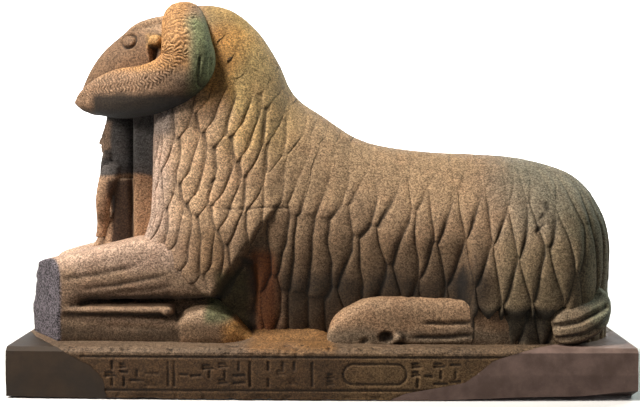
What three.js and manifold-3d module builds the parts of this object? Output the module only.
// A recumbent ram sphinx of granite gneiss, with a small king standing between its forelegs.
// Millimetres, +Z up. The ram looks along -X, its left flank faces -Y, and the origin is under
// the middle of the plinth. The ram, the king, the back slab and the plinth are one block; two
// cast corners make good the broken corners of the plinth.

import * as THREE from 'three';
import { mergeVertices } from 'three/addons/utils/BufferGeometryUtils.js';
import Module from 'manifold-3d';

const wasm = await Module();
wasm.setup();

// ---------------------------------------------------------------- driving sizes

const LENGTH = 1630;
const WIDTH = 630;
const PLINTH_HEIGHT = 134;
const PLINTH_EDGE = 10;           // worn rounding of the plinth's edges
const SEAM = 0.3;                 // gap between the stone and a cast corner
const SUNK = 24;                  // how far the carved forms run down into the plinth
const BULGE = 14;                 // how far the worn front face swells in the middle
const FILL_RISE = 34;             // stone left standing between the plinth and the belly

const LOCKS_PER_STATION = 3;
const LOCK_RELIEF = 8;            // depth of the grooves between the locks on the flank
const MANE_RELIEF = 6.5;          // and between the long locks of the mane
const LOCK_TIER = 350;            // height from one lock tip to the next in the same column
const LOCK_SWING = 0.42;          // how far a groove swings, as a share of a lock's width
const MANE_SWING = 0.24;

const { lerp, smoothstep, clamp } = THREE.MathUtils;
const Vec = THREE.Vector3;

// ---------------------------------------------------------------- curves and skins

/** The keys are evenly spaced lists of numbers; t runs from 0 to 1 over them, as a smooth curve. */
function keyed(keys, t) {
  const place = clamp(t, 0, 1) * (keys.length - 1);
  const i = Math.min(Math.floor(place), keys.length - 2);
  const f = place - i;
  const before = keys[Math.max(i - 1, 0)];
  const after = keys[Math.min(i + 2, keys.length - 1)];
  return keys[i].map((from, n) => {
    const to = keys[i + 1][n];
    const slope0 = (to - before[n]) / 2;
    const slope1 = (after[n] - from) / 2;
    return from + f * (slope0 + f * (3 * (to - from) - 2 * slope0 - slope1
      + f * (slope0 + slope1 - 2 * (to - from))));
  });
}

/** cos and sin of a rounded rectangle: power 1 is an ellipse, and less is squarer. */
function squared(angle, power) {
  const bend = (v) => Math.sign(v) * Math.abs(v) ** power;
  return [bend(Math.cos(angle)), bend(Math.sin(angle))];
}

/** Turns a list of points and triangles into a solid with its faces outward. */
function toSolid(points, triangles) {
  const geometry = new THREE.BufferGeometry();
  geometry.setAttribute('position', new THREE.Float32BufferAttribute(points.flat(), 3));
  geometry.setIndex(triangles.flat());
  return solidOf(geometry);
}

/** Merges a geometry's vertices, drops flat triangles and hands the closed mesh to manifold. */
function solidOf(source) {
  source.deleteAttribute('normal');
  source.deleteAttribute('uv');
  const geometry = mergeVertices(source, 0.01);
  const position = geometry.attributes.position.array;
  const kept = [];
  let volume = 0;
  for (let i = 0; i < geometry.index.count; i += 3) {
    const [a, b, c] = [0, 1, 2].map((n) => geometry.index.getX(i + n));
    if (a === b || b === c || c === a) continue;
    kept.push([a, b, c]);
    const [p, q, r] = [a, b, c].map((n) => new Vec().fromArray(position, 3 * n));
    volume += p.dot(q.cross(r));
  }
  const outward = volume > 0 ? kept : kept.map(([a, b, c]) => [a, c, b]);
  return new wasm.Manifold(new wasm.Mesh({
    numProp: 3,
    vertProperties: new Float32Array(position),
    triVerts: new Uint32Array(outward.flat()),
  }));
}

/**
 * A solid lofted through stations, with a flat cap at each end. A station is its centre, the half
 * vector to its top, the half vector to its side, and its squareness.
 */
function loft(stations, { along, around }) {
  const points = [];
  for (let row = 0; row <= along; row++) {
    const [cx, cy, cz, ux, uy, uz, sx, sy, sz, power] = keyed(stations, row / along);
    for (let n = 0; n < around; n++) {
      const [c, s] = squared((2 * Math.PI * (n + 0.5)) / around, power);
      points.push([cx + ux * c + sx * s, cy + uy * c + sy * s, cz + uz * c + sz * s]);
    }
  }
  const first = points.push(keyed(stations, 0).slice(0, 3)) - 1;
  const last = points.push(keyed(stations, 1).slice(0, 3)) - 1;
  const triangles = [];
  for (let n = 0; n < around; n++) {
    const next = (n + 1) % around;
    triangles.push([first, next, n], [last, along * around + n, along * around + next]);
    for (let row = 0; row < along; row++) {
      const here = row * around;
      const there = here + around;
      triangles.push([here + n, here + next, there + n], [here + next, there + next, there + n]);
    }
  }
  return toSolid(points, triangles);
}

/** A station of a bar that runs along X, with an upright section. */
const barStation = (x, y0, y1, z0, z1, power = 0.6) =>
  [x, (y0 + y1) / 2, (z0 + z1) / 2, 0, 0, (z1 - z0) / 2, 0, (y1 - y0) / 2, 0, power];

/** A station of a post that runs along Z, with a level section. */
const postStation = (z, x0, x1, y0, y1, power = 0.8) =>
  [(x0 + x1) / 2, (y0 + y1) / 2, z, (x1 - x0) / 2, 0, 0, 0, (y1 - y0) / 2, 0, power];

/** A station of the head: a top and a bottom point in the middle plane, and a half width. */
const headStation = (topX, topZ, lowX, lowZ, half, power = 0.85) =>
  [(topX + lowX) / 2, 0, (topZ + lowZ) / 2, (topX - lowX) / 2, 0, (topZ - lowZ) / 2, 0, half, 0, power];

const ellipsoid = (x, y, z, rx, ry, rz, around = 12, along = 8) =>
  solidOf(new THREE.SphereGeometry(1, around, along).scale(rx, ry, rz).translate(x, y, z));

const block = (x0, x1, y0, y1, z0, z1) => solidOf(new THREE.BoxGeometry(x1 - x0, y1 - y0, z1 - z0)
  .translate((x0 + x1) / 2, (y0 + y1) / 2, (z0 + z1) / 2));

const mirrored = (stations) => stations.map(([cx, cy, cz, ux, uy, uz, sx, sy, sz, power]) =>
  [cx, -cy, cz, ux, -uy, uz, sx, -sy, sz, power]);

const joined = (solids) => solids.reduce((sum, solid) => sum.add(solid));

// ---------------------------------------------------------------- the ram's body and fleece

// Meridians of the fleece, from the middle of the chest round the flank to the middle of the rump:
// top on the spine (x, z), widest place (x, y, z), and foot (x, y) down in the plinth.
const MERIDIANS = [
  [-440, 990, -462, 0, 560, -480, 0],
  [-436, 1012, -458, 128, 560, -480, 132],
  [-378, 1040, -436, 178, 560, -466, 182],
  [-272, 1036, -388, 200, 520, -426, 200],
  [-190, 980, -322, 212, 480, -355, 205],
  [-122, 879, -252, 214, 450, -282, 192],
  [-78, 785, -182, 211, 430, -208, 176],
  [4, 727, -80, 206, 415, -106, 166],
  [114, 657, 44, 206, 405, 28, 166],
  [240, 629, 192, 208, 395, 180, 172],
  [372, 619, 330, 216, 388, 318, 196],
  [492, 613, 462, 226, 378, 448, 220],
  [562, 604, 592, 230, 368, 585, 224],
  [598, 596, 705, 206, 362, 698, 202],
  [614, 590, 776, 130, 360, 770, 128],
  [622, 587, 794, 0, 360, 786, 0],
];
const STATIONS = MERIDIANS.length - 1;
const LOCKS = STATIONS * LOCKS_PER_STATION;
const FOOT = PLINTH_HEIGHT - SUNK;
const UPPER_SHARE = 0.68;         // share of a meridian that lies above the widest place

const ELBOW = [-287, 238];        // lowest point of the shoulder's fleece (x, z)
const ELBOW_RISE = 1.45;          // steepness of the shoulder's edge behind the elbow
const ARM_RISE = 0.79;            // steepness of the fleece's edge over the forearm
const HOLLOW_HALF = 166;          // half width of the body in the hollow behind the elbow
const HOLLOW_FLOOR = PLINTH_HEIGHT + 6;
const HOLLOW_RISE = 110;          // height of the hollow's peak above the elbow
const THIGH_EDGE = 385;           // where the thigh's fleece starts

/** A point of the smooth body: k runs from chest to rump, v from the spine to the foot. */
function bodyPoint(k, v) {
  const [topX, topZ, wideX, wideY, wideZ, footX, footY] = keyed(MERIDIANS, k / STATIONS);
  if (v <= UPPER_SHARE) {
    const angle = (v / UPPER_SHARE) * (Math.PI / 2);
    const drop = 1 - Math.cos(angle);
    const round = Math.max(smoothstep(k, 11, 13), 1 - smoothstep(k, 0.5, 2));
    return [lerp(topX, wideX, lerp(drop, Math.sin(angle), round)), wideY * Math.sin(angle),
      wideZ + (topZ - wideZ) * Math.cos(angle)];
  }
  const t = (v - UPPER_SHARE) / (1 - UPPER_SHARE);
  return [lerp(wideX, footX, t), lerp(wideY, footY, t * t), lerp(wideZ, FOOT, t)];
}

/** Shoulder and haunch stand out from the flank: extra half width at a place of the side. */
function limbSwell(x, z) {
  const elbowEdge = ELBOW[0] + (z - ELBOW[1]) / ELBOW_RISE;
  const shoulder = (1 - smoothstep(x, elbowEdge - 14, elbowEdge + 22)) * smoothstep(x, -500, -430);
  const haunch = smoothstep(x, THIGH_EDGE - 15, THIGH_EDGE + 15) * (1 - smoothstep(x, 640, 760));
  return 40 * shoulder * (1 - smoothstep(z, 330, 560)) + 34 * haunch * (1 - smoothstep(z, 300, 470));
}

/** 0 on the mane and 1 on the flank, at groove i of the fleece. */
const flankShare = (i) => smoothstep(i / LOCKS_PER_STATION, 4.5, 7);

/** How far groove i of the fleece swings to and fro, as a share of a lock's width. */
function grooveSwing(i, z) {
  const wave = (z - 410) / LOCK_TIER;
  const zigzag = 1 - 4 * Math.abs(wave - Math.round(wave));
  return (i % 2 ? -1 : 1) * lerp(MANE_SWING, LOCK_SWING, flankShare(i)) * zigzag;
}

/** The body's surface point at lock coordinate q, raised on the locks and cut in the grooves. */
function fleecePoint(column, v, side) {
  const i = Math.floor(column / 2);
  const z = bodyPoint(i / LOCKS_PER_STATION, v)[2];
  const fade = smoothstep(v, 0.05, 0.25);
  const inside = (n) => (n > 0 && n < LOCKS ? fade : 0);
  const groove = i + inside(i) * grooveSwing(i, z);
  const next = i + 1 + inside(i + 1) * grooveSwing(i + 1, z);
  const q = column % 2 ? (groove + next) / 2 : groove;
  const k = q / LOCKS_PER_STATION;
  const step = 0.02;
  const here = new Vec(...bodyPoint(k, v));
  const alongK = new Vec(...bodyPoint(Math.min(k + step, STATIONS), v))
    .sub(new Vec(...bodyPoint(Math.max(k - step, 0), v)));
  const alongV = new Vec(...bodyPoint(k, Math.min(v + step, 1)))
    .sub(new Vec(...bodyPoint(k, Math.max(v - step, 0))));
  const normal = alongK.cross(alongV).normalize();
  const width = column % 2 ? next - groove : 1;
  const raised = column % 2 ? 0.35 * Math.min(width, 1.2) : -0.65;
  const relief = lerp(MANE_RELIEF, LOCK_RELIEF, flankShare(i)) * fade;
  if (inside(i) || inside(i + 1)) here.addScaledVector(normal, relief * raised);
  here.y += limbSwell(here.x, here.z) * smoothstep(here.y, 60, 160);
  if (v === 0 || column === 0 || column === 2 * LOCKS) here.y = 0;
  return [here.x, side * here.y, here.z];
}

function body() {
  const rows = 10;
  const half = 2 * LOCKS;
  const around = 2 * half;
  const points = [];
  for (let row = 0; row <= rows; row++) {
    for (let n = 0; n < around; n++) {
      points.push(n <= half ? fleecePoint(n, row / rows, -1) : fleecePoint(around - n, row / rows, 1));
    }
  }
  const middle = points.push([150, 0, FOOT]) - 1;
  const triangles = [];
  for (let n = 0; n < around; n++) {
    const next = (n + 1) % around;
    for (let row = 0; row < rows; row++) {
      const here = row * around;
      const there = here + around;
      triangles.push([here + n, there + n, here + next], [here + next, there + n, there + next]);
    }
    triangles.push([middle, rows * around + next, rows * around + n]);
  }
  return toSolid(points, triangles);
}

/** A prism of a side view outline (x, z), on the right flank and mirrored on the left. */
function flankPrisms(outline, inner) {
  const shape = new THREE.Shape(outline.map(([x, z]) => new THREE.Vector2(x, z)));
  return joined([-1, 1].map((side) => {
    const geometry = new THREE.ExtrudeGeometry(shape, { depth: 150, bevelEnabled: false });
    geometry.rotateX(Math.PI / 2).translate(0, side > 0 ? inner + 150 : -inner, 0);
    return solidOf(geometry);
  }));
}

/** What is cut from the fleece: where the smooth forearm comes out, and behind the elbow. */
function limbClearance() {
  const [x, z] = ELBOW;
  const run = 250;
  const arm = [[x - 400, z + run * ARM_RISE + 60], [x - 400, FOOT - 5], [x, FOOT - 5], [x, z],
    [x - run, z + run * ARM_RISE]];
  const hollow = [[x - 6, HOLLOW_FLOOR], [x + 124, HOLLOW_FLOOR], [x + 124, z + 40],
    [x + 112, z + HOLLOW_RISE - 12], [x + HOLLOW_RISE / ELBOW_RISE, z + HOLLOW_RISE], [x - 6, z - 8]];
  return flankPrisms(arm, 200).add(flankPrisms(hollow, HOLLOW_HALF));
}

// ---------------------------------------------------------------- the ram's head

const HEAD = [
  headStation(-350, 1020, -380, 800, 118),
  headStation(-450, 1007, -450, 780, 116),
  headStation(-515, 998, -502, 765, 109),
  headStation(-560, 971, -550, 750, 100),
  headStation(-603, 926, -592, 740, 87),
  headStation(-639, 878, -626, 736, 73),
  headStation(-664, 830, -652, 740, 60),
  headStation(-676, 794, -668, 752, 46),
];

// A horn rises from the crown, goes down behind the ear and curls forward along the cheek:
// centre (x, y, z), half band, half thickness, and the outward lean of its face (y, z).
const HORN = [
  [-384, -10, 968, 58, 84, 0, 1],
  [-372, -85, 962, 61, 77, -0.7, 0.7],
  [-360, -140, 925, 66, 68, -1, 0.25],
  [-358, -158, 872, 74, 64, -1, 0],
  [-388, -162, 822, 78, 62, -1, -0.05],
  [-462, -152, 797, 68, 58, -1, 0],
  [-540, -132, 786, 61, 52, -1, 0],
  [-600, -106, 781, 50, 44, -1, 0],
  [-645, -84, 779, 34, 30, -1, 0],
  [-674, -72, 776, 9, 9, -1, 0],
];

/** Turns a path with an outward lean into loft stations square to the path. */
function sweptStations(path, count, power) {
  const stations = [];
  for (let n = 0; n <= count; n++) {
    const t = n / count;
    const [x, y, z, band, thick, outY, outZ] = keyed(path, t);
    const ahead = new Vec(...keyed(path, Math.min(t + 0.01, 1)));
    const behind = new Vec(...keyed(path, Math.max(t - 0.01, 0)));
    const tangent = ahead.sub(behind).normalize();
    const out = new Vec(0, outY, outZ).normalize();
    out.addScaledVector(tangent, -out.dot(tangent)).normalize();
    const across = new Vec().crossVectors(out, tangent);
    stations.push([x, y, z, ...out.multiplyScalar(thick), ...across.multiplyScalar(band), power]);
  }
  return stations;
}

function head() {
  const horn = sweptStations(HORN, 16, 0.8);
  const parts = [loft(HEAD, { along: 9, around: 14 })];
  for (const side of [horn, mirrored(horn)]) parts.push(loft(side, { along: 16, around: 10 }));
  for (const side of [-1, 1]) {
    parts.push(ellipsoid(-528, side * 99, 938, 21, 12, 19, 10, 6));
    parts.push(ellipsoid(-450, side * 120, 936, 22, 18, 16, 8, 6));
  }
  const pits = [-1, 1].map((side) => ellipsoid(-455, side * 126, 898, 14, 20, 20, 8, 6));
  return joined(parts).subtract(joined(pits));
}

// ---------------------------------------------------------------- the ram's legs and tail

const FORELEG_IN = -65;
const FOREARM = [
  barStation(-815, -206, FORELEG_IN, 120, 306, 0.45),
  barStation(-772, -210, FORELEG_IN, 130, 330, 0.45),
  barStation(-700, -216, FORELEG_IN, 150, 352, 0.45),
  barStation(-640, -220, FORELEG_IN, 226, 370, 0.45),
  barStation(-560, -224, FORELEG_IN, 234, 392, 0.45),
  barStation(-480, -229, FORELEG_IN, 236, 408, 0.45),
  barStation(-400, -232, FORELEG_IN, 236, 400, 0.45),
  barStation(-340, -226, FORELEG_IN, 240, 360, 0.45),
  barStation(-296, -190, FORELEG_IN, 246, 320, 0.5),
];
const CANNON = [
  barStation(-814, -206, FORELEG_IN, 110, 230, 0.5),
  barStation(-700, -219, FORELEG_IN, 110, 228, 0.5),
  barStation(-600, -226, FORELEG_IN, 110, 226, 0.5),
  barStation(-480, -229, FORELEG_IN, 110, 228, 0.5),
  barStation(-405, -231, FORELEG_IN, 110, 226, 0.5),
  barStation(-378, -222, FORELEG_IN, 110, 208, 0.5),
];
const FORE_HOOF = [
  barStation(-400, -222, -90, 110, 200, 0.6),
  barStation(-360, -232, -90, 110, 222, 0.6),
  barStation(-310, -236, -90, 110, 230, 0.6),
  barStation(-250, -232, -90, 110, 208, 0.6),
  barStation(-205, -220, -90, 110, 168, 0.6),
  barStation(-185, -205, -90, 110, 138, 0.6),
];
const HIND_FOOT = [
  barStation(14, -215, -120, 100, 140, 0.6),
  barStation(30, -228, -120, 100, 190, 0.6),
  barStation(66, -238, -120, 100, 224, 0.6),
  barStation(130, -244, -120, 100, 252, 0.6),
  barStation(250, -246, -120, 100, 254, 0.6),
  barStation(370, -246, -120, 100, 252, 0.6),
  barStation(450, -244, -120, 100, 246, 0.6),
  barStation(520, -236, -120, 100, 220, 0.6),
];

// The tail hangs from the rump and lies round the left haunch, with its tuft on the plinth.
const TAIL = [
  [756, -30, 292, 24, 22, 1, 0.3],
  [763, -95, 264, 32, 26, 1, 0.3],
  [750, -165, 224, 42, 32, 0.7, 0.5],
  [718, -210, 186, 48, 34, -0.4, 0.8],
  [672, -228, 165, 46, 30, -0.8, 0.6],
  [632, -230, 152, 34, 22, -0.9, 0.4],
  [610, -228, 142, 12, 10, -0.9, 0.4],
];

function legs() {
  const parts = [];
  for (const flip of [(s) => s, mirrored]) {
    parts.push(loft(flip(FOREARM), { along: 8, around: 12 }));
    parts.push(loft(flip(CANNON), { along: 6, around: 10 }));
    parts.push(loft(flip(FORE_HOOF), { along: 6, around: 10 }));
    parts.push(loft(flip(HIND_FOOT), { along: 7, around: 12 }));
  }
  return joined(parts);
}

function tail() {
  return loft(sweptStations(TAIL, 10, 0.9), { along: 10, around: 10 });
}

// ---------------------------------------------------------------- the king and the back slab

const SLAB_FRONT = -535;
const SLAB_HALF = 88;
const KING_TOP = 720;

function king() {
  const torso = [
    postStation(280, -624, SLAB_FRONT, -64, 64),
    postStation(350, -622, SLAB_FRONT, -68, 68),
    postStation(430, -612, SLAB_FRONT, -60, 60),
    postStation(470, -602, SLAB_FRONT, -52, 52),
    postStation(530, -616, SLAB_FRONT, -66, 66),
    postStation(580, -616, SLAB_FRONT, -76, 76),
    postStation(606, -600, SLAB_FRONT, -58, 58),
  ];
  const apron = [
    postStation(262, -680, -590, -46, 46, 0.5),
    postStation(330, -666, -590, -38, 38, 0.5),
    postStation(400, -634, -590, -20, 20, 0.5),
    postStation(440, -616, -590, -10, 10, 0.5),
  ];
  const neck = [
    postStation(590, -598, SLAB_FRONT, -24, 24, 1),
    postStation(640, -600, SLAB_FRONT, -22, 22, 1),
  ];
  const skull = [
    postStation(620, -612, -572, -18, 18, 1),
    postStation(636, -622, -560, -27, 27, 1),
    postStation(660, -625, -552, -32, 32, 1),
    postStation(690, -620, -548, -33, 33, 1),
    postStation(KING_TOP, -608, -548, -26, 26, 1),
  ];
  const headcloth = [
    postStation(600, -590, SLAB_FRONT, -54, 54, 0.7),
    postStation(640, -597, SLAB_FRONT, -52, 52, 0.8),
    postStation(690, -612, SLAB_FRONT, -42, 42, 0.9),
    postStation(KING_TOP + 35, -606, SLAB_FRONT, -34, 34, 1),
  ];
  const arm = [
    postStation(598, -606, -556, -84, -56, 0.9),
    postStation(560, -617, -562, -92, -60, 0.9),
    postStation(510, -626, -582, -90, -60, 0.9),
    postStation(470, -628, -590, -80, -50, 0.9),
    postStation(435, -630, -597, -62, -34, 0.9),
    postStation(395, -635, -606, -54, -28, 0.8),
  ];
  const leg = [
    postStation(110, -606, -560, -54, -14, 0.9),
    postStation(290, -608, -556, -58, -10, 0.9),
  ];
  const foot = [
    barStation(-560, -56, -14, 110, 168, 0.8),
    barStation(-676, -58, -14, 110, 142, 0.8),
  ];
  const parts = [
    loft(torso, { along: 7, around: 12 }),
    loft(apron, { along: 3, around: 8 }),
    loft(neck, { along: 1, around: 8 }),
    loft(headcloth, { along: 3, around: 12 }),
    loft(skull, { along: 5, around: 10 }),
  ];
  for (const flip of [(s) => s, mirrored]) {
    parts.push(loft(flip(arm), { along: 5, around: 8 }));
    parts.push(loft(flip(leg), { along: 1, around: 8 }));
    parts.push(loft(flip(foot), { along: 2, around: 8 }));
  }
  return joined(parts);
}

function backSlab() {
  const stations = [
    postStation(110, SLAB_FRONT - 6, -440, -SLAB_HALF, SLAB_HALF, 0.3),
    postStation(770, SLAB_FRONT, -440, -SLAB_HALF, SLAB_HALF, 0.3),
  ];
  return loft(stations, { along: 2, around: 12 });
}

// ---------------------------------------------------------------- the plinth

/** Section of the plinth at x, as points (y, z) from the front's foot over the top to the back. */
function plinthSection(x) {
  const middle = 1 - (2 * Math.abs(x) / LENGTH) ** 2;
  const front = -WIDTH / 2 + BULGE * (1 - middle);
  const back = WIDTH / 2;
  const lift = 5 * (1 - middle);
  const fill = FILL_RISE * smoothstep(x, -260, -150) * (1 - smoothstep(x, -20, 60));
  return [
    [front + PLINTH_EDGE, 0], [front + 2, lift + 6], [front, PLINTH_HEIGHT / 2],
    [front + 3, PLINTH_HEIGHT - PLINTH_EDGE], [front + 1.5 * PLINTH_EDGE, PLINTH_HEIGHT],
    [-230, PLINTH_HEIGHT + fill * 0.2], [-165, PLINTH_HEIGHT + fill], [0, PLINTH_HEIGHT],
    [back - PLINTH_EDGE, PLINTH_HEIGHT], [back, PLINTH_HEIGHT - PLINTH_EDGE], [back, lift + 6],
    [back - PLINTH_EDGE, 0],
  ];
}

function plinth() {
  const steps = 18;
  const points = [];
  for (let row = 0; row <= steps; row++) {
    const x = LENGTH * (row / steps - 0.5);
    points.push(...plinthSection(x).map(([y, z]) => [x, y, z]));
  }
  const around = plinthSection(0).length;
  const triangles = [];
  for (let n = 0; n < around; n++) {
    const next = (n + 1) % around;
    for (let row = 0; row < steps; row++) {
      const here = row * around;
      const there = here + around;
      triangles.push([here + n, here + next, there + n], [here + next, there + next, there + n]);
    }
    if (n > 0 && next > 0) {
      triangles.push([0, next, n], [steps * around, steps * around + n, steps * around + next]);
    }
  }
  return toSolid(points, triangles);
}

/** A solid between level outlines: each level is its height and the same count of (x, y) points. */
function stacked(levels) {
  const around = levels[0].outline.length;
  const points = levels.flatMap(({ z, outline }) => outline.map(([x, y]) => [x, y, z]));
  const top = points.length - around;
  const triangles = THREE.ShapeUtils.triangulateShape(levels[0].outline.map(([x, y]) =>
    new THREE.Vector2(x, y)), []).map(([a, b, c]) => [a, c, b]);
  triangles.push(...THREE.ShapeUtils.triangulateShape(levels.at(-1).outline.map(([x, y]) =>
    new THREE.Vector2(x, y)), []).map(([a, b, c]) => [a + top, b + top, c + top]));
  for (let row = 0; row < levels.length - 1; row++) {
    for (let n = 0; n < around; n++) {
      const next = (n + 1) % around;
      const here = row * around;
      const there = here + around;
      triangles.push([here + n, here + next, there + n], [here + next, there + next, there + n]);
    }
  }
  return toSolid(points, triangles);
}

// Both broken corners part from the stone along a rough slanting seam. On the front face the seam
// runs through these places (x, z), and it goes back to the end of the plinth near its middle.
const FRONT_SEAM = [[-508, -1], [-540, 50], [-568, 90], [-655, PLINTH_HEIGHT]];
const REAR_SEAM = [[130, -1], [178, 20], [322, 48], [412, 104], [505, PLINTH_HEIGHT]];
const SEAM_STEPS = 6;

/** The corner beyond a seam: end is -1 at the front or +1 at the rear; gap moves the seam inward. */
function corner(seam, end, gap) {
  const outer = end * (LENGTH / 2 + 40);
  const levels = seam.map(([x, z], level) => {
    const outline = [];
    for (let n = 0; n <= SEAM_STEPS; n++) {
      const t = n / SEAM_STEPS;
      const rough = 9 * Math.sin(5 * n + 3 * level) * Math.sin(Math.PI * t);
      outline.push([lerp(x, outer, t ** 0.9) + rough - end * gap * 2, lerp(-360, 10, t) + gap]);
    }
    outline.push([outer, -400], [x, -400]);
    return { z: z > 0 ? z + gap : z, outline: end > 0 ? outline.reverse() : outline };
  });
  return stacked(levels);
}

/** The wedge that broke away from the near foreleg, above the front corner. */
function legBreak() {
  const levels = [PLINTH_HEIGHT, 190, 250, 310, 450].map((z, level) => {
    const outline = [];
    for (let n = 0; n <= SEAM_STEPS; n++) {
      const y = lerp(-250, -50, n / SEAM_STEPS);
      const rough = level === 0 ? 0 : 7 * Math.sin(4 * n + 5 * level);
      outline.push([-702 - 0.7 * (y + 212) + rough, y]);
    }
    outline.push([-900, -50], [-900, -250]);
    return { z: z - (level ? 0 : 5), outline };
  });
  return stacked(levels);
}

// The front face carries two ruled lines, and rows of shallow strokes between them.
const RULED = [{ z: 113, x0: -619, x1: 497 }, { z: 27, x0: -598, x1: 300 }];
const STROKE_DEPTH = 5;
const STROKE_X0 = -545;
const STROKE_X1 = 285;

function faceCut(x0, x1, z0, z1) {
  const front = plinthSection((x0 + x1) / 2)[2][0];
  return block(x0, x1, front - 20, front + STROKE_DEPTH, z0, z1);
}

function strokes() {
  const cuts = RULED.map(({ z, x0, x1 }) => block(x0, x1, -400, -WIDTH / 2 + STROKE_DEPTH + 2, z - 2, z + 2));
  const groups = 8;
  for (let n = 0; n < groups; n++) {
    const x = lerp(STROKE_X0, STROKE_X1, n / (groups - 1));
    if (n % 3 === 2) {
      cuts.push(faceCut(x, x + 4, 38, 100));
    } else {
      cuts.push(faceCut(x, x + 46, 88, 93), faceCut(x, x + 46, 42, 47));
      cuts.push(faceCut(x + 62, x + 67, 40, 92));
    }
  }
  return joined(cuts);
}

// ---------------------------------------------------------------- the model

const wholePlinth = plinth();
const ram = joined([body().subtract(limbClearance()), head(), legs().subtract(legBreak()), tail()]);
const carved = joined([wholePlinth, ram, backSlab(), king()]);
const monolith = carved.subtract(corner(FRONT_SEAM, -1, SEAM)).subtract(corner(REAR_SEAM, 1, SEAM))
  .subtract(strokes());
const frontCorner = wholePlinth.intersect(corner(FRONT_SEAM, -1, 0));
const rearCorner = wholePlinth.intersect(corner(REAR_SEAM, 1, 0));

function meshOf(name, solid, colour, roughness) {
  const { vertProperties, triVerts } = solid.getMesh();
  const geometry = new THREE.BufferGeometry();
  geometry.setAttribute('position', new THREE.Float32BufferAttribute(vertProperties, 3));
  geometry.setIndex(Array.from(triVerts));
  geometry.computeVertexNormals();
  const material = new THREE.MeshStandardMaterial({ color: colour, roughness, metalness: 0 });
  const mesh = new THREE.Mesh(geometry, material);
  mesh.name = name;
  return mesh;
}

const model = new THREE.Group();
model.add(
  meshOf('ram_king_monolith', monolith, 0x9a8064, 0.8),
  meshOf('plinth_repair_front', frontCorner, 0x4b423b, 0.7),
  meshOf('plinth_repair_rear', rearCorner, 0x5f5049, 0.7),
);
export default model;
